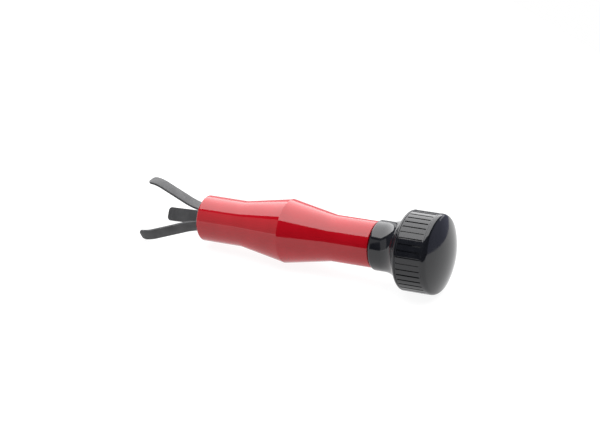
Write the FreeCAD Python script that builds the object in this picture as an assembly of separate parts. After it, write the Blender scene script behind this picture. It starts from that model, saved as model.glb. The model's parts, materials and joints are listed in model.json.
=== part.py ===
import FreeCAD, Part
import math
import os

# Three-finger gripping tool: a turned red barrel with a double-tapered waist, three flat
# steel fingers at its nose and a fluted knob behind.  The knob turns a threaded sleeve, the
# sleeve draws a threaded rod and its carrier back into the barrel, and the nose ring closes
# the fingers as they are drawn in.
#
# Frame: origin at the centre of the nose face, +X along the axis towards the knob, and
# +Z through the first finger.  Millimetres.  A profile point is (x, radius).

Vector = FreeCAD.Vector
AXIS = Vector(1, 0, 0)
CENTRE = Vector(0, 0, 0)

# Fits: radial gaps
RUN_FIT = 0.05
SIDE_FIT = 0.10
REST_GAP = 0.05

# Barrel
BARREL_LENGTH = 86.0
BARREL_END_R = 10.45
RIDGE_R = 14.5
CYLINDER_LENGTH = 20.5
NOSE_ROUND = 1.0
TAIL_ROUND = 0.4
RIDGE_ROUND = 0.5
CARRIER_BORE_R = 8.0
MID_BORE_R = 6.5
BUSH_BORE_R = 8.2

# Nose ring, pressed into the mouth of the barrel
RING_OUTER_R = 8.9
RING_INNER_R = 7.1
RING_RECESS = 0.6
RING_LENGTH = 4.0
RING_ROUND = 0.5

# Travel of the carrier between open and closed
TRAVEL = 16.0

# Fingers
FINGER_ANGLES = {"a": 0.0, "b": 120.0, "c": 240.0}
FINGER_WIDTH = 6.3
FINGER_THICKNESS = 1.0
FINGER_REACH = 28.0
FINGER_ROOT_R = 4.6
FINGER_TIP_R = 14.6
FINGER_SLOPE = math.radians(25.6)
ENTRY_BEND_R = 27.0
TIP_BEND_R = 16.0
TIP_CORNER_R = 1.7
PIVOT_X = 12.3
PIN_R = 0.8
PIN_LENGTH = 9.2
EYE_RUN = 3.3
EYE_WRAP = math.radians(250)

# Carrier
CARRIER_LENGTH = 14.5
CARRIER_NOSE = 2.8
CORE_R = 2.5
SLOT_HEEL = 0.4

# Spreader spring and its screw
SPRING_THICKNESS = 0.4
SPRING_WIDTH = 3.0
SPRING_HUB_R = 2.4
SPRING_REACH = 4.2
SPRING_FOOT = 1.2
SCREW_R = 1.0
SCREW_LENGTH = 4.5
SCREW_HEAD_R = 2.0
SCREW_HEAD_H = 1.2
SCREW_SLOT = 0.5

# Guide key
KEY_WIDTH = 2.4
KEY_INNER_R = 6.7
KEY_OUTER_R = 9.2

# Draw rod
ROD_R = 3.0
ROD_SEAT = 6.5
ROD_PIN_R = 1.0
ROD_PIN_X = 3.0
ROD_TAIL = 2.0
STOP_THICKNESS = 1.0
STOP_OUTER_R = 4.6
STOP_GROOVE_R = 2.4

# Bush, thrust washers, retaining ring and friction ring
BUSH_LENGTH = 6.2
BUSH_RECESS = 0.5
WASHER_THICKNESS = 0.8
CIRCLIP_THICKNESS = 1.0
CIRCLIP_GROOVE = 0.7
CIRCLIP_OUTER_R = 6.9
CIRCLIP_OPENING = 50.0
ORING_SECTION_R = 0.6
ORING_OUTER_GAP = 0.04

# Drive sleeve
SLEEVE_R = 5.5
SLEEVE_NOSE = 0.6
SLEEVE_END_GAP = 0.2
FLANGE_R = 8.8
FLANGE_LENGTH = 2.5
HEX_FLATS = 12.0
TAIL_R = 4.6
TAIL_BEYOND_NUT = 0.4

# Knob
KNOB_GAP = 0.3
HUB_R = 11.3
HUB_ROUND = 1.3
HUB_STRAIGHT = 4.4
HUB_LENGTH = 14.65
LIP_ROUND = 1.5
LIP_GROOVE_R = 0.2
LIP_GROOVE_EDGE_R = 0.12
LIP_GROOVE_TURN = math.radians(75)
KNOB_R = 18.0
GRIP_LENGTH = 12.55
WEB_X = 7.7
NUT_POCKET_R = 9.2
NUT_POCKET_LENGTH = 10.0
CAVITY_R = 14.5
FLUTES = 40
FLUTE_PHASE = 0.375
FLUTE_R = 0.42
FLUTE_BACK_MARGIN = 1.2
FLUTE_FRONT_MARGIN = 1.3
KNOB_WASHER_THICKNESS = 0.8
KNOB_WASHER_R = 8.6
NUT_HEIGHT = 4.0
NUT_FLATS = 13.0

# Knob cap
DOME_HEIGHT = 6.15
DOME_EDGE_R = 2.4
CAP_WALL = 2.0
SPIGOT_LENGTH = 5.0
SPIGOT_WALL = 1.5

# Places that follow from the sizes above
RING_BACK_X = RING_RECESS + RING_LENGTH
CARRIER_FRONT_X = PIVOT_X - CARRIER_NOSE
CARRIER_BACK_X = CARRIER_FRONT_X + CARRIER_LENGTH
CARRIER_BORE_END_X = CARRIER_BACK_X + TRAVEL + REST_GAP
EYE_LINE_R = PIN_R + RUN_FIT + FINGER_THICKNESS / 2
EYE_R = EYE_LINE_R + FINGER_THICKNESS / 2
BUSH_BACK_X = BARREL_LENGTH - BUSH_RECESS
BUSH_FRONT_X = BUSH_BACK_X - BUSH_LENGTH
HUB_X = BARREL_LENGTH + KNOB_GAP
FLANGE_BACK_X = HUB_X + FLANGE_LENGTH
WEB_BACK_X = HUB_X + WEB_X
NUT_X = WEB_BACK_X + KNOB_WASHER_THICKNESS
SLEEVE_BACK_X = NUT_X + NUT_HEIGHT + TAIL_BEYOND_NUT
GRIP_X = HUB_X + HUB_LENGTH + LIP_ROUND
SHOULDER_X = GRIP_X + GRIP_LENGTH
CIRCLIP_BACK_X = BUSH_FRONT_X - WASHER_THICKNESS - REST_GAP
CIRCLIP_FRONT_X = CIRCLIP_BACK_X - CIRCLIP_THICKNESS
SLEEVE_FRONT_X = CIRCLIP_FRONT_X - SLEEVE_NOSE
BUSH_BORE_X = SLEEVE_FRONT_X - SLEEVE_END_GAP
SLEEVE_BORE_R = ROD_R + RUN_FIT
STOP_X = SLEEVE_BACK_X + REST_GAP
ROD_FRONT_X = CARRIER_BACK_X - ROD_SEAT
ROD_BACK_X = STOP_X + STOP_THICKNESS + ROD_TAIL


def point(x, radius):
    """A profile point in the half-plane through the first finger."""
    return Vector(x, 0, radius)


def line(start, end):
    """A straight profile edge."""
    return Part.LineSegment(point(*start), point(*end)).toShape()


def arc(centre, radius, start, end):
    """A profile arc about a centre, between two angles from +X towards the radius, in radians."""
    def on_arc(angle):
        return point(centre[0] + radius * math.cos(angle), centre[1] + radius * math.sin(angle))
    return Part.Arc(on_arc(start), on_arc((start + end) / 2), on_arc(end)).toShape()


def revolved(edges):
    """The solid swept by a closed profile about the axis."""
    face = Part.Face(Part.Wire(edges))
    return face.revolve(CENTRE, AXIS, 360)


def disc(front, back, radius):
    """A round bar along the axis."""
    return Part.makeCylinder(radius, back - front, Vector(front, 0, 0), AXIS)


def tube(front, back, inner, outer):
    """A round bar with a bore."""
    return disc(front, back, outer).cut(disc(front, back, inner))


def block(front, back, width, low, high):
    """A box across the axis: full width along Y, and from low to high along Z."""
    return Part.makeBox(back - front, width, high - low, Vector(front, -width / 2, low))


def hexagon(front, back, flats):
    """A hexagonal bar along the axis."""
    corner = flats / math.sqrt(3)
    angles = [math.radians(60 * i) for i in range(7)]
    corners = [Vector(front, corner * math.sin(a), corner * math.cos(a)) for a in angles]
    return Part.Face(Part.makePolygon(corners)).extrude(Vector(back - front, 0, 0))


def turned(shape, degrees):
    """A copy of a shape, turned about the axis."""
    copy = shape.copy()
    copy.rotate(CENTRE, AXIS, degrees)
    return copy


def rims(shape, x, radius):
    """The circular edges of a shape at a place along the axis with a given radius."""
    found = []
    for edge in shape.Edges:
        curve = edge.Curve
        if isinstance(curve, Part.Circle) and abs(curve.Radius - radius) < 1e-4:
            if abs(curve.Center.x - x) < 1e-4:
                found.append(edge)
    return found


# ---- Barrel group ----

def barrel():
    half = BARREL_LENGTH / 2
    tail = BARREL_LENGTH - CYLINDER_LENGTH
    outline = [(0, 0), (0, BARREL_END_R), (CYLINDER_LENGTH, BARREL_END_R), (half, RIDGE_R)]
    outline += [(tail, BARREL_END_R), (BARREL_LENGTH, BARREL_END_R), (BARREL_LENGTH, 0), (0, 0)]
    body = revolved([line(a, b) for a, b in zip(outline, outline[1:])])
    body = body.makeFillet(RIDGE_ROUND, rims(body, half, RIDGE_R))
    body = body.makeFillet(NOSE_ROUND, rims(body, 0, BARREL_END_R))
    body = body.makeFillet(TAIL_ROUND, rims(body, BARREL_LENGTH, BARREL_END_R))
    body = body.cut(disc(0, RING_BACK_X, RING_OUTER_R))
    body = body.cut(disc(RING_BACK_X, CARRIER_BORE_END_X, CARRIER_BORE_R))
    body = body.cut(disc(CARRIER_BORE_END_X, BUSH_BORE_X, MID_BORE_R))
    body = body.cut(disc(BUSH_BORE_X, BARREL_LENGTH, BUSH_BORE_R))
    return body.cut(block(RING_BACK_X, CARRIER_BORE_END_X, KEY_WIDTH, -KEY_OUTER_R, 0))


def nose_ring():
    ring = tube(RING_RECESS, RING_BACK_X, RING_INNER_R, RING_OUTER_R)
    mouths = rims(ring, RING_RECESS, RING_INNER_R) + rims(ring, RING_BACK_X, RING_INNER_R)
    return ring.makeFillet(RING_ROUND, mouths)


def guide_key():
    return block(RING_BACK_X, CARRIER_BORE_END_X, KEY_WIDTH, -KEY_OUTER_R, -KEY_INNER_R)


def rear_bush():
    return tube(BUSH_FRONT_X, BUSH_BACK_X, SLEEVE_R + RUN_FIT, BUSH_BORE_R)


# ---- Fingers ----

def finger_line(offset):
    """The bent strip's profile edges from tip to root, offset outwards from its middle surface.

    The root rises by the eye's radius in two small bends and is rolled round the pin.
    """
    entry_x = ENTRY_BEND_R * math.sin(FINGER_SLOPE)
    entry_rise = ENTRY_BEND_R * (1 - math.cos(FINGER_SLOPE))
    tip_x = TIP_BEND_R * math.sin(FINGER_SLOPE)
    tip_rise = TIP_BEND_R * (1 - math.cos(FINGER_SLOPE))
    straight_rise = FINGER_TIP_R - FINGER_ROOT_R - entry_rise - tip_rise
    straight_x = straight_rise / math.tan(FINGER_SLOPE)
    bend_x = entry_x + straight_x + tip_x - FINGER_REACH
    eye_bend = 2 * math.atan2(EYE_LINE_R, EYE_RUN)
    eye_bend_r = EYE_RUN / 2 / math.sin(eye_bend)
    eye_x = PIVOT_X - EYE_RUN
    down = -math.pi / 2
    up = math.pi / 2
    tip_centre = (-FINGER_REACH, FINGER_TIP_R - TIP_BEND_R)
    entry_centre = (bend_x, FINGER_ROOT_R + ENTRY_BEND_R)
    rise_centre = (eye_x, FINGER_ROOT_R + eye_bend_r)
    level_centre = (PIVOT_X, FINGER_ROOT_R + EYE_LINE_R - eye_bend_r)
    tip = arc(tip_centre, TIP_BEND_R + offset, up, up - FINGER_SLOPE)
    entry = arc(entry_centre, ENTRY_BEND_R - offset, down - FINGER_SLOPE, down)
    rise = arc(rise_centre, eye_bend_r - offset, down, down + eye_bend)
    level = arc(level_centre, eye_bend_r + offset, up + eye_bend, up)
    eye = arc((PIVOT_X, FINGER_ROOT_R), EYE_LINE_R + offset, up, up - EYE_WRAP)
    middle = Part.LineSegment(tip.Vertexes[-1].Point, entry.Vertexes[0].Point).toShape()
    root = Part.LineSegment(entry.Vertexes[-1].Point, rise.Vertexes[0].Point).toShape()
    return [tip, middle, entry, root, rise, level, eye]


def finger(angle):
    half = FINGER_THICKNESS / 2
    outer = finger_line(half)
    inner = finger_line(-half)
    tip_end = Part.LineSegment(outer[0].Vertexes[0].Point, inner[0].Vertexes[0].Point)
    eye_end = Part.LineSegment(outer[-1].Vertexes[-1].Point, inner[-1].Vertexes[-1].Point)
    edges = outer + inner + [tip_end.toShape(), eye_end.toShape()]
    face = Part.Face(Part.Wire(Part.__sortEdges__(edges)))
    face.translate(Vector(0, -FINGER_WIDTH / 2, 0))
    strip = face.extrude(Vector(0, FINGER_WIDTH, 0))
    tips = []
    for edge in strip.Edges:
        box = edge.BoundBox
        if box.XLength < 1e-4 and box.YLength < 1e-4 and box.XMax < 1e-4 - FINGER_REACH:
            tips.append(edge)
    return turned(strip.makeFillet(TIP_CORNER_R, tips), angle)


def finger_pin(angle):
    start = Vector(PIVOT_X, -PIN_LENGTH / 2, FINGER_ROOT_R)
    return turned(Part.makeCylinder(PIN_R, PIN_LENGTH, start, Vector(0, 1, 0)), angle)


# ---- Carrier and rod ----

def rod_pin():
    radius = CARRIER_BORE_R - 2 * RUN_FIT
    start = Vector(ROD_FRONT_X + ROD_PIN_X, -radius, 0)
    bar = Part.makeCylinder(ROD_PIN_R, 2 * radius, start, Vector(0, 1, 0))
    return bar.common(disc(CARRIER_FRONT_X, CARRIER_BACK_X, radius))


def carrier():
    body = disc(CARRIER_FRONT_X, CARRIER_BACK_X, CARRIER_BORE_R - RUN_FIT)
    slot_width = FINGER_WIDTH + 2 * SIDE_FIT
    heel_x = PIVOT_X + EYE_R + SLOT_HEEL
    for angle in FINGER_ANGLES.values():
        body = body.cut(turned(block(0, heel_x, slot_width, CORE_R, CARRIER_BORE_R), angle))
        body = body.cut(finger_pin(angle))
    key_width = KEY_WIDTH + 2 * RUN_FIT
    key_top = RUN_FIT - KEY_INNER_R
    body = body.cut(block(0, CARRIER_BACK_X, key_width, -CARRIER_BORE_R, key_top))
    body = body.cut(disc(ROD_FRONT_X, CARRIER_BACK_X, ROD_R))
    body = body.cut(disc(CARRIER_FRONT_X, CARRIER_FRONT_X + SCREW_LENGTH, SCREW_R))
    return body.cut(rod_pin())


def draw_rod():
    rod = disc(ROD_FRONT_X, ROD_BACK_X, ROD_R)
    end_round = rims(rod, ROD_BACK_X, ROD_R)
    rod = rod.makeChamfer(ROD_R / 6, end_round)
    rod = rod.cut(tube(STOP_X, STOP_X + STOP_THICKNESS, STOP_GROOVE_R, ROD_R))
    return rod.cut(rod_pin())


def opened(ring, front, back, degrees):
    """A retaining ring with a wedge cut out of it, at the top."""
    reach = 4 * KNOB_R
    half = math.radians(degrees / 2)
    corners = [Vector(front, 0, 0)]
    corners.append(Vector(front, -reach * math.sin(half), reach * math.cos(half)))
    corners.append(Vector(front, reach * math.sin(half), reach * math.cos(half)))
    corners.append(corners[0])
    return ring.cut(Part.Face(Part.makePolygon(corners)).extrude(Vector(back - front, 0, 0)))


def rod_stop_ring():
    back = STOP_X + STOP_THICKNESS
    return opened(tube(STOP_X, back, STOP_GROOVE_R, STOP_OUTER_R), STOP_X, back, CIRCLIP_OPENING)


def spreader_spring():
    hub_back = CARRIER_FRONT_X
    hub_front = hub_back - SPRING_THICKNESS
    spring = disc(hub_front, hub_back, SPRING_HUB_R)
    foot_top = FINGER_ROOT_R - FINGER_THICKNESS / 2 - REST_GAP
    knee = (hub_back, SCREW_HEAD_R)
    foot_back = (hub_front - SPRING_REACH, foot_top)
    foot_front = (foot_back[0] - SPRING_FOOT, foot_top)
    down = SPRING_THICKNESS
    outline = [knee, foot_back, foot_front, (foot_front[0], foot_top - down)]
    outline += [(foot_back[0], foot_top - down), (hub_front, SCREW_HEAD_R), knee]
    face = Part.Face(Part.Wire([line(a, b) for a, b in zip(outline, outline[1:])]))
    face.translate(Vector(0, -SPRING_WIDTH / 2, 0))
    leg = face.extrude(Vector(0, SPRING_WIDTH, 0))
    for angle in FINGER_ANGLES.values():
        spring = spring.fuse(turned(leg, angle))
    return spring.removeSplitter().cut(disc(hub_front, hub_back, SCREW_R))


def spring_screw():
    head_back = CARRIER_FRONT_X - SPRING_THICKNESS
    head_front = head_back - SCREW_HEAD_H
    screw = disc(head_front, head_back, SCREW_HEAD_R)
    screw = screw.makeFillet(SCREW_HEAD_H / 2, rims(screw, head_front, SCREW_HEAD_R))
    screw = screw.fuse(disc(head_back, CARRIER_FRONT_X + SCREW_LENGTH, SCREW_R))
    slot_back = head_front + SCREW_HEAD_H / 2
    return screw.cut(block(head_front, slot_back, SCREW_SLOT, -SCREW_HEAD_R, SCREW_HEAD_R))


# ---- Drive sleeve and what turns with it ----

def oring_x():
    return (BUSH_FRONT_X + BUSH_BACK_X) / 2


def oring_centre_r():
    return SLEEVE_R - ORING_OUTER_GAP / 2 - ORING_SECTION_R


def oring():
    return Part.makeTorus(oring_centre_r(), ORING_SECTION_R, Vector(oring_x(), 0, 0), AXIS)


def drive_sleeve():
    front = disc(SLEEVE_FRONT_X, HUB_X, SLEEVE_R)
    flange = disc(HUB_X, FLANGE_BACK_X, FLANGE_R)
    hexed = hexagon(FLANGE_BACK_X, WEB_BACK_X, HEX_FLATS)
    tail = disc(WEB_BACK_X, SLEEVE_BACK_X, TAIL_R)
    sleeve = front.fuse([flange, hexed, tail])
    clip_floor = SLEEVE_R - CIRCLIP_GROOVE
    sleeve = sleeve.cut(tube(CIRCLIP_FRONT_X, CIRCLIP_BACK_X, clip_floor, SLEEVE_R))
    ring_floor = oring_centre_r() - ORING_SECTION_R
    ring_front = oring_x() - ORING_SECTION_R - SIDE_FIT
    ring_back = oring_x() + ORING_SECTION_R + SIDE_FIT
    sleeve = sleeve.cut(tube(ring_front, ring_back, ring_floor, SLEEVE_R))
    return sleeve.cut(disc(SLEEVE_FRONT_X, SLEEVE_BACK_X, SLEEVE_BORE_R))


def sleeve_circlip():
    ring = tube(CIRCLIP_FRONT_X, CIRCLIP_BACK_X, SLEEVE_R - CIRCLIP_GROOVE, CIRCLIP_OUTER_R)
    return opened(ring, CIRCLIP_FRONT_X, CIRCLIP_BACK_X, CIRCLIP_OPENING)


def thrust_washer_front():
    outer = BUSH_BORE_R - SIDE_FIT
    return tube(CIRCLIP_BACK_X, BUSH_FRONT_X - REST_GAP, SLEEVE_R, outer)


def thrust_washer_rear():
    outer = BUSH_BORE_R - SIDE_FIT
    return tube(BUSH_BACK_X + REST_GAP, HUB_X, SLEEVE_R, outer)


# ---- Knob ----

def knob_profile():
    """The outside of the hub, its flare and the grip band, from the front to the shoulder."""
    quarter = math.pi / 2
    flare_x = HUB_X + HUB_ROUND + HUB_STRAIGHT
    lip_r = KNOB_R - LIP_ROUND
    back_x = GRIP_X - LIP_ROUND
    flare_run = back_x - flare_x
    flare_rise = lip_r - HUB_R
    flare_r = (flare_run ** 2 + flare_rise ** 2) / (2 * flare_rise)
    sweep = 2 * math.atan2(flare_rise, flare_run)
    turn = LIP_GROOVE_TURN
    groove_edge_r = KNOB_R - LIP_GROOVE_EDGE_R
    groove_run = (LIP_GROOVE_R + LIP_GROOVE_EDGE_R) * math.sin(turn)
    groove_rise = (LIP_GROOVE_R + LIP_GROOVE_EDGE_R) * math.cos(turn)
    groove_centre = (GRIP_X + groove_run, groove_edge_r + groove_rise)
    groove_end_x = GRIP_X + 2 * groove_run
    return [
        line((HUB_X, 0), (HUB_X, HUB_R - HUB_ROUND)),
        arc((HUB_X + HUB_ROUND, HUB_R - HUB_ROUND), HUB_ROUND, 2 * quarter, quarter),
        line((HUB_X + HUB_ROUND, HUB_R), (flare_x, HUB_R)),
        arc((flare_x, HUB_R + flare_r), flare_r, -quarter, -quarter + sweep),
        arc((GRIP_X, lip_r), LIP_ROUND, 2 * quarter, quarter),
        arc((GRIP_X, groove_edge_r), LIP_GROOVE_EDGE_R, quarter, quarter - turn),
        arc(groove_centre, LIP_GROOVE_R, -quarter - turn, -quarter + turn),
        arc((groove_end_x, groove_edge_r), LIP_GROOVE_EDGE_R, quarter + turn, quarter),
        line((groove_end_x, KNOB_R), (SHOULDER_X, KNOB_R)),
        line((SHOULDER_X, KNOB_R), (SHOULDER_X, 0)),
        line((SHOULDER_X, 0), (HUB_X, 0)),
    ]


def flute():
    """One groove of the grip: a round-ended cutter, at the top."""
    front = GRIP_X + FLUTE_BACK_MARGIN
    back = SHOULDER_X - FLUTE_FRONT_MARGIN
    bar = Part.makeCylinder(FLUTE_R, back - front, Vector(front, 0, KNOB_R), AXIS)
    ends = [Part.makeSphere(FLUTE_R, Vector(x, 0, KNOB_R)) for x in (front, back)]
    return bar.fuse(ends)


def knob_body():
    body = revolved(knob_profile())
    body = body.cut(disc(HUB_X, FLANGE_BACK_X, FLANGE_R))
    body = body.cut(hexagon(FLANGE_BACK_X, WEB_BACK_X, HEX_FLATS))
    pocket_end = WEB_BACK_X + NUT_POCKET_LENGTH
    body = body.cut(disc(WEB_BACK_X, pocket_end, NUT_POCKET_R))
    body = body.cut(disc(pocket_end, SHOULDER_X, CAVITY_R))
    pitch = 360.0 / FLUTES
    return body.cut([turned(flute(), pitch * (i + FLUTE_PHASE)) for i in range(FLUTES)])


def knob_washer():
    return tube(WEB_BACK_X, NUT_X, TAIL_R, KNOB_WASHER_R)


def knob_nut():
    return hexagon(NUT_X, NUT_X + NUT_HEIGHT, NUT_FLATS).cut(disc(NUT_X, NUT_X + NUT_HEIGHT, TAIL_R))


def dome(rim_r, height):
    """A shallow round dome standing on the shoulder, closed by a flat base."""
    ball_r = (rim_r ** 2 + height ** 2) / (2 * height)
    centre = (SHOULDER_X + height - ball_r, 0)
    rim_angle = math.asin(rim_r / ball_r)
    base = (SHOULDER_X, 0)
    apex = (SHOULDER_X + height, 0)
    edges = [line(base, (SHOULDER_X, rim_r)), arc(centre, ball_r, rim_angle, 0), line(apex, base)]
    return revolved(edges)


def crown():
    """The cap's outside: a rounded edge that runs into a shallow crown with no crease."""
    edge_r = KNOB_R - DOME_EDGE_R
    crown_r = DOME_HEIGHT ** 2 + KNOB_R ** 2 - 2 * KNOB_R * DOME_EDGE_R
    crown_r = crown_r / (2 * (DOME_HEIGHT - DOME_EDGE_R))
    crown_x = SHOULDER_X + DOME_HEIGHT - crown_r
    join = math.atan2(edge_r, SHOULDER_X - crown_x)
    base = (SHOULDER_X, 0)
    apex = (SHOULDER_X + DOME_HEIGHT, 0)
    return revolved([
        line(base, (SHOULDER_X, KNOB_R)),
        arc((SHOULDER_X, edge_r), DOME_EDGE_R, math.pi / 2, join),
        arc((crown_x, 0), crown_r, join, 0),
        line(apex, base),
    ])


def knob_cap():
    spigot_inner = CAVITY_R - SPIGOT_WALL
    spigot = tube(SHOULDER_X - SPIGOT_LENGTH, SHOULDER_X, spigot_inner, CAVITY_R)
    cap = crown().fuse(spigot).removeSplitter()
    return cap.cut(dome(spigot_inner, DOME_HEIGHT - CAP_WALL))


NODES = {
    "barrel": barrel(),
    "nose_ring": nose_ring(),
    "guide_key": guide_key(),
    "rear_bush": rear_bush(),
    "carrier": carrier(),
    "draw_rod": draw_rod(),
    "rod_pin": rod_pin(),
    "rod_stop_ring": rod_stop_ring(),
    "spreader_spring": spreader_spring(),
    "spring_screw": spring_screw(),
    "drive_sleeve": drive_sleeve(),
    "oring": oring(),
    "sleeve_circlip": sleeve_circlip(),
    "thrust_washer_front": thrust_washer_front(),
    "thrust_washer_rear": thrust_washer_rear(),
    "knob_body": knob_body(),
    "knob_washer": knob_washer(),
    "knob_nut": knob_nut(),
    "knob_cap": knob_cap(),
}
for letter, degrees in FINGER_ANGLES.items():
    NODES["finger_" + letter] = finger(degrees)
    NODES["finger_pin_" + letter] = finger_pin(degrees)

os.makedirs("parts", exist_ok=True)
for node, shape in NODES.items():
    shape.exportStep(os.path.join("parts", node + ".step"))
    print(node, shape.ShapeType, shape.isValid(), round(shape.Volume, 2))
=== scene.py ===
# %% [markdown]
# # A claw gripping tool, finished in Blender
#
# The tool is a turned red barrel with a double taper, three flat blackened steel fingers at
# its nose and a fluted black knob behind. Turning the knob draws the fingers into the nose.
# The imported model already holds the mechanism, so this script loads it as a fixed frame,
# rebuilds the pieces that show as clean, finely rounded meshes, and gives every piece its
# finish. Lengths are in metres.

# %% Load the frame
import json
import math

import bmesh
import bpy
from mathutils import Matrix, Vector


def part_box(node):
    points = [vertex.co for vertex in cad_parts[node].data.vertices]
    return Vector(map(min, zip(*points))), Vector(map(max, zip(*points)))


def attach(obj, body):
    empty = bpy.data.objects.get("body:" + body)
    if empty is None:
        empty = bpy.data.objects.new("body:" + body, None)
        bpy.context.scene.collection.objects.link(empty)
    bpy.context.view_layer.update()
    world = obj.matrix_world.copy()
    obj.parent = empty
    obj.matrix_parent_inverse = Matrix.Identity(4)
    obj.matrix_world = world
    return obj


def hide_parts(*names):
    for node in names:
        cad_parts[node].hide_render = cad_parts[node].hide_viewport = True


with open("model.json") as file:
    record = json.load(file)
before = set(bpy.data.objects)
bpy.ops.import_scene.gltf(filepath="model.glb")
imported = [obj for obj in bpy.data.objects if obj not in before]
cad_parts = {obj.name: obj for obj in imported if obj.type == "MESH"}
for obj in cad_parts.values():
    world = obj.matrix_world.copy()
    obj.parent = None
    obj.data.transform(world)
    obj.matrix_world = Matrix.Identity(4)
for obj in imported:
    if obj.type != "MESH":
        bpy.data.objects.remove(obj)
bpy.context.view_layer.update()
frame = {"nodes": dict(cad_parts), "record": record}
nodes = frame["nodes"]
MM = 0.001
print("frame loaded with", len(nodes), "nodes")

# %% [markdown]
# ## Camera
#
# A long lens from above and behind the knob's side. It is aimed at a point in front of the
# nose's middle and leans a few degrees with the table that the tool lies on. The same place
# could be typed in as a matrix, but a bearing, a height and a distance are easier to read.

# %% The camera
CAMERA_AIM = Vector((37.5, 19.9, -1.0)) * MM
CAMERA_DISTANCE = 1118.9 * MM
CAMERA_BEARING = math.radians(28.54)
CAMERA_HEIGHT = math.radians(23.48)
CAMERA_LEAN = math.radians(3.37)
CAMERA_LENS = 147.3
SENSOR_WIDTH = 36.0
CLIP_NEAR = 0.05
CLIP_FAR = 20.0

away = Vector((
    math.sin(CAMERA_BEARING) * math.cos(CAMERA_HEIGHT),
    -math.cos(CAMERA_BEARING) * math.cos(CAMERA_HEIGHT),
    math.sin(CAMERA_HEIGHT),
))
bpy.ops.object.camera_add(location=CAMERA_AIM + away * CAMERA_DISTANCE)
camera = bpy.context.object
camera.name = "view_camera"
camera.data.sensor_width = SENSOR_WIDTH
camera.data.lens = CAMERA_LENS
camera.data.clip_start = CLIP_NEAR
camera.data.clip_end = CLIP_FAR
upright = (-away).to_track_quat("-Z", "Y")
lean = Matrix.Rotation(-CAMERA_LEAN, 4, "Z").to_quaternion()
camera.rotation_mode = "QUATERNION"
camera.rotation_quaternion = upright @ lean
bpy.context.scene.camera = camera
print("camera at", [round(v, 3) for v in camera.location])

# %% [markdown]
# ## Table and light
#
# The tool lies on the knob's rim and on its two lower finger tips, so the table leans a
# little against the tool's axis. Its slope comes from the boxes of those pieces.
#
# Black plastic and lacquer show what is round them more than their own colour, so the
# lights are placed for what they show in the surfaces. One very large soft panel hangs
# above: its near edge ends the bright half of the barrel. The dark gap between panel and
# table draws the deep band along its side. The table ends behind the knob, where the cap
# reflects a dim bluish room. A small dim card fills the gap for the nose only, and a low
# strip far behind softens the upper edges. A single studio picture wrapped round the scene
# could do all of this at once, but lights can be moved and changed one at a time.

# %% The table
TABLE_SIZE = 6.0
TABLE_EDGE = 0.225
TABLE_EDGE_TURN = math.radians(53.3)
knob_low, knob_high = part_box("knob_body")
tip_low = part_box("finger_b")[0]
HUB_LENGTH = 14.65 * MM
LIP_ROUND = 1.5 * MM
rim_x = knob_low.x + HUB_LENGTH + LIP_ROUND
table_slope = math.atan2(tip_low.z - knob_low.z, rim_x - tip_low.x)

bpy.ops.object.select_all(action="DESELECT")
bpy.ops.mesh.primitive_plane_add(size=TABLE_SIZE, location=(0, 0, 0))
table = bpy.context.object
table.name = "table"
edge_turn = Matrix.Rotation(TABLE_EDGE_TURN, 4, "Z")
edge_shift = Matrix.Translation((TABLE_EDGE - TABLE_SIZE / 2, 0, 0))
lean_over = Matrix.Rotation(table_slope, 4, "Y")
on_rim = Matrix.Translation((rim_x, 0, knob_low.z))
table.matrix_world = on_rim @ lean_over @ edge_turn @ edge_shift
bpy.ops.object.transform_apply(location=True, rotation=True, scale=True)
print("table slope", round(math.degrees(table_slope), 2), "degrees")

TABLE_WHITE = 0.16
TABLE_ROUGHNESS = 0.9
TABLE_GLOW = 0.92
table_finish = bpy.data.materials.new("white_sheet")
table_finish.use_nodes = True
sheet_shader = table_finish.node_tree.nodes["Principled BSDF"]
sheet_shader.inputs["Base Color"].default_value = (TABLE_WHITE,) * 3 + (1,)
sheet_shader.inputs["Roughness"].default_value = TABLE_ROUGHNESS
sheet_shader.inputs["Specular IOR Level"].default_value = 0.0
sheet_shader.inputs["Emission Color"].default_value = (1, 1, 1, 1)
sheet_shader.inputs["Emission Strength"].default_value = TABLE_GLOW
table.data.materials.append(table_finish)

# %% The soft lights
TOOL_MIDDLE = Vector((0.04, 0, 0))
FINGERS_MIDDLE = Vector((-0.04, 0, 0))


def soft_light(name, place, width, height, brightness, aim=TOOL_MIDDLE, colour=(1, 1, 1)):
    """A flat lamp that faces a point of the tool; brightness is what its surface shows."""
    bpy.ops.object.light_add(type="AREA", location=place)
    lamp = bpy.context.object
    lamp.name = name
    lamp.data.shape = "RECTANGLE"
    lamp.data.size = width
    lamp.data.size_y = height
    lamp.data.energy = brightness * math.pi * width * height
    lamp.data.color = colour
    lamp.rotation_mode = "QUATERNION"
    lamp.rotation_quaternion = (aim - Vector(place)).to_track_quat("-Z", "Y")
    print(name, width, "by", height, "m, power", round(lamp.data.energy, 2), "W")


soft_light("top_panel", place=(-0.15, 0.364, 0.974),
           width=2.0, height=2.46, brightness=4.0)
soft_light("back_panel", place=(-0.15, 1.56, 0.346),
           width=3.0, height=0.365, brightness=1.2)
soft_light("room_panel", place=(0.85, 1.05, 0.1),
           width=2.4, height=0.9, brightness=0.4, colour=(0.72, 0.74, 1.0))
soft_light("nose_card", place=(-0.255, -0.27, 0.15),
           width=0.3, height=0.35, brightness=0.6, aim=FINGERS_MIDDLE)

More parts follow.
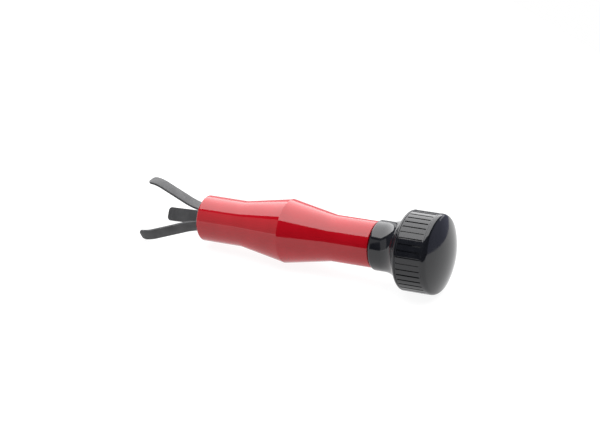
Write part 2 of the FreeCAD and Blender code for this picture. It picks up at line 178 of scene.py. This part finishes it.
# %% The room
ROOM_DARK = (0.05, 0.055, 0.07, 1)
ROOM_WHITE = (1, 1, 1, 1)
room = bpy.data.worlds.new("room")
bpy.context.scene.world = room
room.use_nodes = True
room_nodes = room.node_tree.nodes
room_links = room.node_tree.links
room_nodes.clear()
room_out = room_nodes.new("ShaderNodeOutputWorld")
room_choice = room_nodes.new("ShaderNodeMixShader")
room_ray = room_nodes.new("ShaderNodeLightPath")
room_links.new(room_ray.outputs["Is Camera Ray"], room_choice.inputs["Fac"])
for choice_input, room_colour in ((1, ROOM_DARK), (2, ROOM_WHITE)):
    backdrop = room_nodes.new("ShaderNodeBackground")
    backdrop.inputs["Color"].default_value = room_colour
    room_links.new(backdrop.outputs["Background"], room_choice.inputs[choice_input])
room_links.new(room_choice.outputs["Shader"], room_out.inputs["Surface"])
bpy.context.scene.view_settings.view_transform = "Standard"
print("room: white to the camera, dark to the surfaces")

# %% [markdown]
# ## A pen and a lathe
#
# Every round piece here is turned: half its outline is drawn in the plane through the
# axis, and then spun round it. Blender's Spin works on a single vertex as well, which draws
# an arc, so a short pen is enough to draw any outline: down at a point, straight to the
# next, round a centre. An outline could be typed in as a list of many points instead, but
# then its curves would not be round. A narrow bevel then rounds every sharp edge, because a
# perfectly sharp one catches no light.

# %% The pen
MERGE_DISTANCE = 0.002 * MM
pen_point = Vector((0, 0, 0))


def pen_down(name, x, radius):
    """Starts a new piece as one vertex in the plane y = 0, at x and a radius."""
    global pen_point
    bpy.ops.object.select_all(action="DESELECT")
    bpy.ops.mesh.primitive_circle_add(vertices=3, radius=MM, location=(0, 0, 0))
    piece = bpy.context.object
    piece.name = name
    piece.data.name = name
    bpy.ops.object.mode_set(mode="EDIT")
    bpy.ops.mesh.select_mode(type="VERT")
    bpy.ops.mesh.select_all(action="SELECT")
    bpy.ops.mesh.merge(type="CENTER")
    bpy.ops.transform.translate(value=(x, 0, radius))
    pen_point = Vector((x, 0, radius))
    return piece


def pen_line(x, radius):
    """Draws a straight edge to a point."""
    global pen_point
    target = Vector((x, 0, radius))
    bpy.ops.mesh.extrude_vertices_move(TRANSFORM_OT_translate={"value": target - pen_point})
    pen_point = target


def pen_arc(centre_x, centre_radius, degrees, steps):
    """Draws an arc about a centre. Positive degrees turn from +X towards the outside.

    Spin turns against the right-hand rule about its axis, and a rotation matrix with it.
    """
    global pen_point
    centre = Vector((centre_x, 0, centre_radius))
    angle = math.radians(degrees)
    bpy.ops.mesh.spin(steps=steps, angle=angle, center=centre, axis=(0, 1, 0))
    turn = Matrix.Rotation(-angle, 3, "Y")
    pen_point = centre + turn @ (pen_point - centre)


def spin_outline(segments):
    """Spins the outline round the axis, closes the seam and turns the faces outwards."""
    bpy.ops.mesh.select_all(action="SELECT")
    bpy.ops.mesh.spin(steps=segments, angle=2 * math.pi, center=(0, 0, 0), axis=(1, 0, 0))
    bpy.ops.mesh.select_all(action="SELECT")
    bpy.ops.mesh.remove_doubles(threshold=MERGE_DISTANCE)
    bpy.ops.mesh.normals_make_consistent(inside=False)
    bpy.ops.object.mode_set(mode="OBJECT")


# %% Round edges
SMOOTH_ANGLE = math.radians(32)
SHARP_ANGLE = math.radians(28)


def mesh_is_closed(piece):
    """True if every edge of the piece joins two faces."""
    shape = bmesh.new()
    shape.from_mesh(piece.data)
    closed = all(edge.is_manifold for edge in shape.edges)
    shape.free()
    return closed


def finish_edges(piece, width, segments=3):
    """Rounds the sharp edges of a piece and smooths its curved faces."""
    bpy.ops.object.select_all(action="DESELECT")
    bpy.context.view_layer.objects.active = piece
    piece.select_set(True)
    edge_round = piece.modifiers.new("edge_round", "BEVEL")
    edge_round.width = width
    edge_round.segments = segments
    edge_round.limit_method = "ANGLE"
    edge_round.angle_limit = SHARP_ANGLE
    bpy.ops.object.modifier_apply(modifier=edge_round.name)
    bpy.ops.object.shade_smooth_by_angle(angle=SMOOTH_ANGLE)
    print(piece.name, len(piece.data.polygons), "faces, closed:", mesh_is_closed(piece))


# %% [markdown]
# ## Barrel
#
# The barrel is one piece of aluminium bar, turned to a cylinder at each end and a taper up
# to a sharp ridge in the middle, then bored from both ends. The nose edge has a radius of
# about a millimetre, so the outline has a true arc there, and the ridge and the tail get
# a small arc of their own. The bore is turned in the same outline, so the wall has a real
# thickness at the mouth, where it shows.

# %% The barrel
BARREL_SEGMENTS = 160
END_R = 10.45 * MM
RIDGE_R = 14.5 * MM
CYLINDER_LENGTH = 20.5 * MM
NOSE_ROUND = 1.0 * MM
TAIL_ROUND = 0.4 * MM
RIDGE_ROUND = 0.5 * MM
BARREL_EDGE_ROUND = 0.08 * MM
RING_BORE_R = 8.9 * MM
CARRIER_BORE_R = 8.0 * MM
MID_BORE_R = 6.5 * MM
BUSH_BORE_R = 8.2 * MM
RING_SEAT_X = 4.6 * MM
CARRIER_BORE_X = 40.05 * MM
BUSH_BORE_X = 76.65 * MM

barrel_low, barrel_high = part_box("barrel")
barrel_length = barrel_high.x - barrel_low.x
ridge_x = barrel_length / 2
taper_x = barrel_length - CYLINDER_LENGTH
taper = math.atan2(RIDGE_R - END_R, ridge_x - CYLINDER_LENGTH)
taper_degrees = math.degrees(taper)
ridge_half = RIDGE_ROUND * math.sin(taper)
ridge_centre_r = RIDGE_R - RIDGE_ROUND / math.cos(taper)
ridge_start_r = ridge_centre_r + RIDGE_ROUND * math.cos(taper)

barrel = pen_down("red_barrel", 0, RING_BORE_R)
pen_line(0, END_R - NOSE_ROUND)
pen_arc(NOSE_ROUND, END_R - NOSE_ROUND, -90, steps=8)
pen_line(CYLINDER_LENGTH, END_R)
pen_line(ridge_x - ridge_half, ridge_start_r)
pen_arc(ridge_x, ridge_centre_r, -2 * taper_degrees, steps=4)
pen_line(taper_x, END_R)
pen_line(barrel_length - TAIL_ROUND, END_R)
pen_arc(barrel_length - TAIL_ROUND, END_R - TAIL_ROUND, -90, steps=4)
pen_line(barrel_length, BUSH_BORE_R)
pen_line(BUSH_BORE_X, BUSH_BORE_R)
pen_line(BUSH_BORE_X, MID_BORE_R)
pen_line(CARRIER_BORE_X, MID_BORE_R)
pen_line(CARRIER_BORE_X, CARRIER_BORE_R)
pen_line(RING_SEAT_X, CARRIER_BORE_R)
pen_line(RING_SEAT_X, RING_BORE_R)
pen_line(0, RING_BORE_R)
spin_outline(BARREL_SEGMENTS)
finish_edges(barrel, BARREL_EDGE_ROUND, segments=2)
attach(barrel, "barrel")
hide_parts("barrel")

# %% [markdown]
# ## Nose ring
#
# A steel ring is pressed into the mouth, a little behind the nose face, and its rounded
# inner edges are what the fingers slide on. It is turned in the same way.

# %% The nose ring
RING_R = 7.1 * MM
RING_ROUND = 0.5 * MM
RING_EDGE_ROUND = 0.06 * MM
ring_low, ring_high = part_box("nose_ring")
ring_front = ring_low.x
ring_back = ring_high.x

nose_ring = pen_down("nose_ring_turned", ring_front, RING_BORE_R)
pen_line(ring_front, RING_R + RING_ROUND)
pen_arc(ring_front + RING_ROUND, RING_R + RING_ROUND, 90, steps=6)
pen_line(ring_back - RING_ROUND, RING_R)
pen_arc(ring_back - RING_ROUND, RING_R + RING_ROUND, 90, steps=6)
pen_line(ring_back, RING_BORE_R)
pen_line(ring_front, RING_BORE_R)
spin_outline(BARREL_SEGMENTS)
finish_edges(nose_ring, RING_EDGE_ROUND, segments=2)
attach(nose_ring, "barrel")
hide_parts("nose_ring")

# %% [markdown]
# ## Fingers
#
# Each finger is a strip of spring steel, about a millimetre thick, bent to a long S and
# rolled round its pin at the root. The pen draws the strip's middle line, an extrusion
# across the line gives it its width, a vertex bevel rounds the corners of the tip, and
# Solidify gives it its thickness. A vertex bevel can't reach past the next row of points,
# so the line's first step is drawn longer than the corner's radius. One finger is made and
# two copies are turned round the axis, each with its own mesh.

# %% The first finger
FINGER_WIDTH = 6.3 * MM
FINGER_THICKNESS = 1.0 * MM
FINGER_REACH = 28.0 * MM
FINGER_ROOT_R = 4.6 * MM
FINGER_TIP_R = 14.6 * MM
FINGER_SLOPE = 25.6
ENTRY_BEND_R = 27.0 * MM
TIP_BEND_R = 16.0 * MM
TIP_CORNER_R = 1.7 * MM
TIP_CORNER_ROOM = 1.2
TIP_PICK_DEPTH = 0.01 * MM
STRIP_EDGE_ROUND = 0.14 * MM
PIVOT_X = 12.3 * MM
EYE_R = 1.35 * MM
EYE_WRAP = 250
EYE_RUN = 3.3 * MM

slope = math.radians(FINGER_SLOPE)
entry_rise = ENTRY_BEND_R * (1 - math.cos(slope))
tip_rise = TIP_BEND_R * (1 - math.cos(slope))
straight_rise = FINGER_TIP_R - FINGER_ROOT_R - entry_rise - tip_rise
straight_run = straight_rise / math.tan(slope)
tip_run = TIP_BEND_R * math.sin(slope)
entry_run = ENTRY_BEND_R * math.sin(slope)
bend_x = entry_run + straight_run + tip_run - FINGER_REACH
joggle = 2 * math.atan2(EYE_R, EYE_RUN)
joggle_r = EYE_RUN / 2 / math.sin(joggle)
joggle_degrees = math.degrees(joggle)
joggle_x = PIVOT_X - EYE_RUN
tip_step = math.degrees(TIP_CORNER_ROOM * TIP_CORNER_R / TIP_BEND_R)
tip_bend_centre_r = FINGER_TIP_R - TIP_BEND_R

finger = pen_down("finger_strip_a", -FINGER_REACH, FINGER_TIP_R)
pen_arc(-FINGER_REACH, tip_bend_centre_r, -tip_step, steps=1)
pen_arc(-FINGER_REACH, tip_bend_centre_r, tip_step - FINGER_SLOPE, steps=8)
pen_line(bend_x - entry_run, FINGER_ROOT_R + entry_rise)
pen_arc(bend_x, FINGER_ROOT_R + ENTRY_BEND_R, FINGER_SLOPE, steps=12)
pen_line(joggle_x, FINGER_ROOT_R)
pen_arc(joggle_x, FINGER_ROOT_R + joggle_r, joggle_degrees, steps=5)
pen_arc(PIVOT_X, FINGER_ROOT_R + EYE_R - joggle_r, -joggle_degrees, steps=5)
pen_arc(PIVOT_X, FINGER_ROOT_R, -EYE_WRAP, steps=28)
bpy.ops.mesh.select_all(action="SELECT")
bpy.ops.transform.translate(value=(0, -FINGER_WIDTH / 2, 0))
bpy.ops.mesh.extrude_edges_move(TRANSFORM_OT_translate={"value": (0, FINGER_WIDTH, 0)})
bpy.ops.mesh.select_all(action="SELECT")
bpy.ops.mesh.normals_make_consistent(inside=False)

# %% The tip's corners and the strip's thickness
bpy.ops.mesh.select_all(action="DESELECT")
bpy.ops.mesh.select_mode(type="VERT")
strip = bmesh.from_edit_mesh(finger.data)
for vertex in strip.verts:
    vertex.select = vertex.co.x < TIP_PICK_DEPTH - FINGER_REACH
strip.select_flush(True)
bmesh.update_edit_mesh(finger.data)
bpy.ops.mesh.bevel(affect="VERTICES", offset=TIP_CORNER_R, segments=6)
bpy.ops.object.mode_set(mode="OBJECT")

sheet_metal = finger.modifiers.new("sheet_metal", "SOLIDIFY")
sheet_metal.thickness = FINGER_THICKNESS
sheet_metal.offset = 0.0
sheet_metal.use_even_offset = True
bpy.ops.object.modifier_apply(modifier=sheet_metal.name)
finish_edges(finger, STRIP_EDGE_ROUND)

# %% The other two fingers
FINGER_TURNS = {"b": 120, "c": 240}


def turned_copy(piece, name, degrees):
    """A copy of a piece with its own mesh, turned round the tool's axis."""
    bpy.ops.object.select_all(action="DESELECT")
    piece.select_set(True)
    bpy.context.view_layer.objects.active = piece
    bpy.ops.object.duplicate(linked=False)
    copy = bpy.context.object
    copy.name = name
    copy.data.name = name
    copy.rotation_euler = (math.radians(degrees), 0, 0)
    bpy.ops.object.transform_apply(location=True, rotation=True, scale=True)
    return copy


fingers = {"a": finger}
for letter, degrees in FINGER_TURNS.items():
    fingers[letter] = turned_copy(finger, "finger_strip_" + letter, degrees)
for letter, piece in fingers.items():
    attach(piece, "finger_" + letter)
    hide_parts("finger_" + letter)
print("fingers:", [piece.name for piece in fingers.values()])

# %% [markdown]
# ## Knob
#
# The knob is moulded in glossy black plastic: a plain hub, a hollow flare, a grip band with
# forty narrow grooves, and a domed cap. The outline is spun with four columns of faces to
# each groove, so that one column in four can be picked and pushed in. The corners of each
# picked face are rounded first, which gives the grooves their round ends. Cutting the
# grooves with a Boolean would also work, but it leaves long thin faces that shade badly.
#
# The knob's visible outer rounds are arcs of its outline. The bevel at the end adds hardly
# anything: Blender holds a bevel back beside short edges, and with the grooves in, this one
# comes out about a micrometre wide, so the grooves' lips stay sharp. Without the grooves it
# reaches its full width. An inset ten times as wide only makes it about three times wider.

# %% The knob's body
FLUTES = 40
COLUMNS = 4
HUB_R = 11.3 * MM
HUB_ROUND = 1.3 * MM
HUB_STRAIGHT = 4.4 * MM
KNOB_R = 18.0 * MM
KNOB_EDGE_ROUND = 0.18 * MM
LIP_GROOVE_R = 0.2 * MM
LIP_GROOVE_EDGE_R = 0.12 * MM
LIP_GROOVE_TURN = 75
FLUTE_BACK_MARGIN = 0.8 * MM
FLUTE_FRONT_MARGIN = 0.6 * MM
SEAM_ROUND = 0.08 * MM
FLANGE_R = 8.8 * MM
FLANGE_LENGTH = 2.5 * MM
WEB_X = 7.7 * MM
WEB_HOLE_R = 7.0 * MM
POCKET_R = 9.2 * MM
POCKET_LENGTH = 10.0 * MM
CAVITY_R = 14.5 * MM

hub_x = knob_low.x
shoulder_x = knob_high.x
flare_x = hub_x + HUB_ROUND + HUB_STRAIGHT
lip_r = KNOB_R - LIP_ROUND
flare_run = rim_x - LIP_ROUND - flare_x
flare_rise = lip_r - HUB_R
flare_r = (flare_run ** 2 + flare_rise ** 2) / (2 * flare_rise)
flare_sweep = 2 * math.degrees(math.atan2(flare_rise, flare_run))
groove_edge_r = KNOB_R - LIP_GROOVE_EDGE_R
groove_turn = math.radians(LIP_GROOVE_TURN)
groove_run = (LIP_GROOVE_R + LIP_GROOVE_EDGE_R) * math.sin(groove_turn)
groove_rise = (LIP_GROOVE_R + LIP_GROOVE_EDGE_R) * math.cos(groove_turn)
pocket_x = hub_x + WEB_X + POCKET_LENGTH
flute_start = rim_x + FLUTE_BACK_MARGIN
flute_end = shoulder_x - FLUTE_FRONT_MARGIN

knob = pen_down("knob_grip", hub_x, FLANGE_R)
pen_line(hub_x, HUB_R - HUB_ROUND)
pen_arc(hub_x + HUB_ROUND, HUB_R - HUB_ROUND, -90, steps=8)
pen_line(flare_x, HUB_R)
pen_arc(flare_x, HUB_R + flare_r, flare_sweep, steps=20)
pen_arc(rim_x, lip_r, -90, steps=8)
pen_arc(rim_x, groove_edge_r, -LIP_GROOVE_TURN, steps=5)
pen_arc(rim_x + groove_run, groove_edge_r + groove_rise, 2 * LIP_GROOVE_TURN, steps=8)
pen_arc(rim_x + 2 * groove_run, groove_edge_r, -LIP_GROOVE_TURN, steps=5)
pen_line(flute_start, KNOB_R)
pen_line(flute_end, KNOB_R)
pen_line(shoulder_x - SEAM_ROUND, KNOB_R)
pen_arc(shoulder_x - SEAM_ROUND, KNOB_R - SEAM_ROUND, -90, steps=6)
pen_line(shoulder_x, CAVITY_R)
pen_line(pocket_x, CAVITY_R)
pen_line(pocket_x, POCKET_R)
pen_line(hub_x + WEB_X, POCKET_R)
pen_line(hub_x + WEB_X, WEB_HOLE_R)
pen_line(hub_x + FLANGE_LENGTH, WEB_HOLE_R)
pen_line(hub_x + FLANGE_LENGTH, FLANGE_R)
pen_line(hub_x, FLANGE_R)
spin_outline(FLUTES * COLUMNS)

# %% The knob's grooves
FLUTE_DEPTH = 0.42 * MM
FLUTE_INSET = 0.02 * MM
FLUTE_END_R = 0.3 * MM
BAND_REACH = 1.0 * MM
COLUMN_PLAY = 0.2
column_angle = 2 * math.pi / (FLUTES * COLUMNS)
flute_middle = (flute_start + flute_end) / 2


def pick_groove_faces():
    """Selects, in edit mode, the face in the middle of each groove of the grip band."""
    bpy.ops.mesh.select_mode(type="FACE")
    bpy.ops.mesh.select_all(action="DESELECT")
    shape = bmesh.from_edit_mesh(knob.data)
    for face in shape.faces:
        middle = face.calc_center_median()
        on_band = abs(middle.x - flute_middle) < BAND_REACH
        outside = math.hypot(middle.y, middle.z) > lip_r
        column = math.atan2(middle.y, middle.z) / column_angle - 0.5
        centred = abs(column - round(column)) < COLUMN_PLAY
        is_groove = round(column) % COLUMNS == COLUMNS // 2
        face.select = on_band and outside and centred and is_groove
    bmesh.update_edit_mesh(knob.data)
    print("groove faces picked:", sum(face.select for face in shape.faces))


bpy.ops.object.mode_set(mode="EDIT")
pick_groove_faces()
bpy.ops.mesh.inset(thickness=FLUTE_INSET, use_individual=True)
bpy.ops.mesh.select_mode(type="VERT")
bpy.ops.mesh.bevel(affect="VERTICES", offset=FLUTE_END_R, segments=4)
pick_groove_faces()
bpy.ops.mesh.extrude_region_shrink_fatten(
    TRANSFORM_OT_shrink_fatten={"value": -FLUTE_DEPTH, "use_even_offset": False}
)
bpy.ops.object.mode_set(mode="OBJECT")
finish_edges(knob, KNOB_EDGE_ROUND, segments=4)
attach(knob, "knob")
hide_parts("knob_body")

# %% [markdown]
# ## Cap
#
# The cap closes the knob's hollow. Its rounded edge runs into a shallow crown without a
# crease, and a ring under it pushes into the body. Cap and body meet in a fine seam. A flat
# sphere would be quicker, but it can't give the edge a radius of its own.

# %% The cap
DOME_EDGE_R = 2.4 * MM
CAP_WALL = 2.0 * MM
SPIGOT_LENGTH = 5.0 * MM
SPIGOT_WALL = 1.5 * MM
cap_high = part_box("knob_cap")[1]
dome_height = cap_high.x - shoulder_x
edge_centre_r = KNOB_R - DOME_EDGE_R
crown_r = (dome_height ** 2 + KNOB_R ** 2 - 2 * KNOB_R * DOME_EDGE_R) / (
    2 * (dome_height - DOME_EDGE_R))
crown_x = shoulder_x + dome_height - crown_r
crown_sweep = math.degrees(math.atan2(edge_centre_r, shoulder_x - crown_x))
spigot_r = CAVITY_R - SPIGOT_WALL
spigot_x = shoulder_x - SPIGOT_LENGTH
inner_height = dome_height - CAP_WALL
inner_ball_r = (spigot_r ** 2 + inner_height ** 2) / (2 * inner_height)
inner_ball_x = shoulder_x + inner_height - inner_ball_r
inner_sweep = math.degrees(math.asin(spigot_r / inner_ball_r))

cap = pen_down("knob_dome", shoulder_x + dome_height, 0)
pen_arc(crown_x, 0, crown_sweep, steps=32)
pen_arc(shoulder_x, edge_centre_r, 90 - crown_sweep, steps=12)
pen_line(shoulder_x, CAVITY_R)
pen_line(spigot_x, CAVITY_R)
pen_line(spigot_x, spigot_r)
pen_line(shoulder_x, spigot_r)
pen_arc(inner_ball_x, 0, -inner_sweep, steps=16)
spin_outline(FLUTES * COLUMNS)
finish_edges(cap, SEAM_ROUND)
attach(cap, "knob")
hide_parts("knob_cap")

# %% [markdown]
# ## Finishes
#
# Every finish is a Principled shader with its own small texture: turning marks that run
# round a lathe-cut piece, fine rolling marks along a strip, and a slight unevenness in a
# moulded or lacquered skin. All of it is procedural and reads Object coordinates, so it
# stays where it is when a piece moves.

# %% Finish helpers
NOISE_DARK = 0.3
NOISE_LIGHT = 0.7
EVEN = (1, 1, 1)


def new_finish(name, colour, metallic, roughness):
    """A material with one Principled shader; gives the material, its nodes, the shader."""
    finish = bpy.data.materials.new(name)
    finish.use_nodes = True
    tree = finish.node_tree
    shader = tree.nodes["Principled BSDF"]
    shader.inputs["Base Color"].default_value = tuple(colour) + (1,)
    shader.inputs["Metallic"].default_value = metallic
    shader.inputs["Roughness"].default_value = roughness
    print("finish:", name)
    return finish, tree, shader


def noise_grey(tree, stretch, scale, detail=4.0):
    """The grey of a noise on Object coordinates, stretched by a factor along each axis."""
    place = tree.nodes.new("ShaderNodeTexCoord")
    mapping = tree.nodes.new("ShaderNodeMapping")
    noise = tree.nodes.new("ShaderNodeTexNoise")
    mapping.inputs["Scale"].default_value = stretch
    noise.inputs["Scale"].default_value = scale
    noise.inputs["Detail"].default_value = detail
    tree.links.new(place.outputs["Object"], mapping.inputs["Vector"])
    tree.links.new(mapping.outputs["Vector"], noise.inputs["Vector"])
    return noise.outputs["Fac"]


def tint(tree, grey, socket, dark, light):
    """Mixes two colours by a grey and links the result to a socket."""
    ramp = tree.nodes.new("ShaderNodeValToRGB")
    for element, position, colour in zip(
            ramp.color_ramp.elements, (NOISE_DARK, NOISE_LIGHT), (dark, light)):
        element.position = position
        element.color = tuple(colour) + (1,)
    tree.links.new(grey, ramp.inputs["Fac"])
    tree.links.new(ramp.outputs["Color"], socket)


def vary(tree, grey, socket, low, high):
    """Turns a grey into a range of values and links the result to a socket."""
    span = tree.nodes.new("ShaderNodeMapRange")
    span.inputs["From Min"].default_value = NOISE_DARK
    span.inputs["From Max"].default_value = NOISE_LIGHT
    span.inputs["To Min"].default_value = low
    span.inputs["To Max"].default_value = high
    tree.links.new(grey, span.inputs["Value"])
    tree.links.new(span.outputs["Result"], socket)


def raise_up(tree, grey, socket, depth):
    """Makes a bump of a depth in metres from a grey and links it to a normal socket."""
    bump = tree.nodes.new("ShaderNodeBump")
    bump.inputs["Strength"].default_value = 1.0
    bump.inputs["Distance"].default_value = depth
    tree.links.new(grey, bump.inputs["Height"])
    tree.links.new(bump.outputs["Normal"], socket)


# %% Red lacquer
RED_DARK = (0.34, 0.0015, 0.006)
RED_LIGHT = (0.40, 0.003, 0.010)
RED_TURNING_DEPTH = 0.0008 * MM
RED_SKIN_DEPTH = 0.002 * MM
red, red_tree, red_shader = new_finish(
    "red_lacquer", RED_LIGHT, metallic=0.0, roughness=0.32)
red_cloud = noise_grey(red_tree, EVEN, scale=90.0)
red_turning = noise_grey(red_tree, (1, 0.02, 0.02), scale=5200.0)
red_skin = noise_grey(red_tree, EVEN, scale=420.0, detail=2.0)
red_in = red_shader.inputs
tint(red_tree, red_cloud, red_in["Base Color"], RED_DARK, RED_LIGHT)
vary(red_tree, red_turning, red_in["Roughness"], low=0.28, high=0.40)
raise_up(red_tree, red_turning, red_in["Normal"], RED_TURNING_DEPTH)
raise_up(red_tree, red_skin, red_in["Coat Normal"], RED_SKIN_DEPTH)
red_in["Specular IOR Level"].default_value = 0.0
red_in["Coat Weight"].default_value = 1.0
red_in["Coat Roughness"].default_value = 0.03
red_in["Coat IOR"].default_value = 1.5

# %% Black plastic
BLACK_DARK = (0.006, 0.0065, 0.0085)
BLACK_LIGHT = (0.010, 0.0105, 0.013)
BLACK_SKIN_DEPTH = 0.0015 * MM
black, black_tree, black_shader = new_finish(
    "black_plastic", BLACK_LIGHT, metallic=0.0, roughness=0.1)
black_cloud = noise_grey(black_tree, EVEN, scale=160.0)
black_skin = noise_grey(black_tree, EVEN, scale=900.0, detail=2.0)
black_in = black_shader.inputs
tint(black_tree, black_cloud, black_in["Base Color"], BLACK_DARK, BLACK_LIGHT)
vary(black_tree, black_cloud, black_in["Roughness"], low=0.07, high=0.13)
raise_up(black_tree, black_skin, black_in["Normal"], BLACK_SKIN_DEPTH)

# %% Blackened finger steel
STRIP_DARK = (0.040, 0.040, 0.042)
STRIP_LIGHT = (0.060, 0.060, 0.062)
STRIP_GRAIN_DEPTH = 0.003 * MM
strip_steel, strip_tree, strip_shader = new_finish(
    "finger_steel", STRIP_LIGHT, metallic=0.2, roughness=0.5)
strip_grain = noise_grey(strip_tree, (0.06, 1, 1), scale=2600.0)
strip_cloud = noise_grey(strip_tree, EVEN, scale=260.0)
strip_in = strip_shader.inputs
tint(strip_tree, strip_cloud, strip_in["Base Color"], STRIP_DARK, STRIP_LIGHT)
vary(strip_tree, strip_grain, strip_in["Roughness"], low=0.42, high=0.58)
raise_up(strip_tree, strip_grain, strip_in["Normal"], STRIP_GRAIN_DEPTH)
strip_in["Specular IOR Level"].default_value = 0.35

# %% The finishes inside
MARK_DEPTH = 0.002 * MM
RUBBER_SKIN_DEPTH = 0.004 * MM


def turned_metal(name, dark, light, smooth, rough):
    """Bare metal with fine turning marks round the tool's axis."""
    finish, tree, shader = new_finish(name, light, metallic=1.0, roughness=smooth)
    marks = noise_grey(tree, (1, 0.04, 0.04), scale=4200.0)
    cloud = noise_grey(tree, EVEN, scale=300.0)
    tint(tree, cloud, shader.inputs["Base Color"], dark, light)
    vary(tree, marks, shader.inputs["Roughness"], smooth, rough)
    raise_up(tree, marks, shader.inputs["Normal"], MARK_DEPTH)
    return finish


steel = turned_metal("turned_steel", dark=(0.40, 0.40, 0.41), light=(0.56, 0.56, 0.57),
                     smooth=0.22, rough=0.38)
spring = turned_metal("blued_spring_steel", dark=(0.07, 0.08, 0.11),
                      light=(0.14, 0.15, 0.19), smooth=0.25, rough=0.4)
bronze = turned_metal("oily_bronze", dark=(0.32, 0.19, 0.08), light=(0.52, 0.33, 0.15),
                      smooth=0.3, rough=0.45)
brass = turned_metal("turned_brass", dark=(0.60, 0.43, 0.16), light=(0.78, 0.60, 0.27),
                     smooth=0.18, rough=0.32)

rubber, rubber_tree, rubber_shader = new_finish(
    "ring_rubber", (0.02, 0.02, 0.02), metallic=0.0, roughness=0.6)
rubber_skin = noise_grey(rubber_tree, EVEN, scale=1500.0)
rubber_in = rubber_shader.inputs
vary(rubber_tree, rubber_skin, rubber_in["Roughness"], low=0.5, high=0.75)
raise_up(rubber_tree, rubber_skin, rubber_in["Normal"], RUBBER_SKIN_DEPTH)

# %% Give each piece its finish
FINISH_BY_SLOT = {
    "red_lacquer": red,
    "black_plastic": black,
    "finger_steel": strip_steel,
    "steel": steel,
    "spring_steel": spring,
    "bronze": bronze,
    "brass": brass,
    "rubber": rubber,
}
for subpart in frame["record"]["subparts"]:
    node = nodes[subpart["node"]]
    for place in node.material_slots:
        place.material = FINISH_BY_SLOT[subpart["material_slot"]]
new_pieces = {barrel: red, nose_ring: steel, knob: black, cap: black}
new_pieces.update({piece: strip_steel for piece in fingers.values()})
for piece, finish in new_pieces.items():
    piece.data.materials.clear()
    piece.data.materials.append(finish)
print("finishes given to", len(nodes), "nodes and", len(new_pieces), "new pieces")

# %% [markdown]
# ## Last step
#
# The last line brings the scene up to date.

# %% Update the scene
bpy.context.view_layer.update()
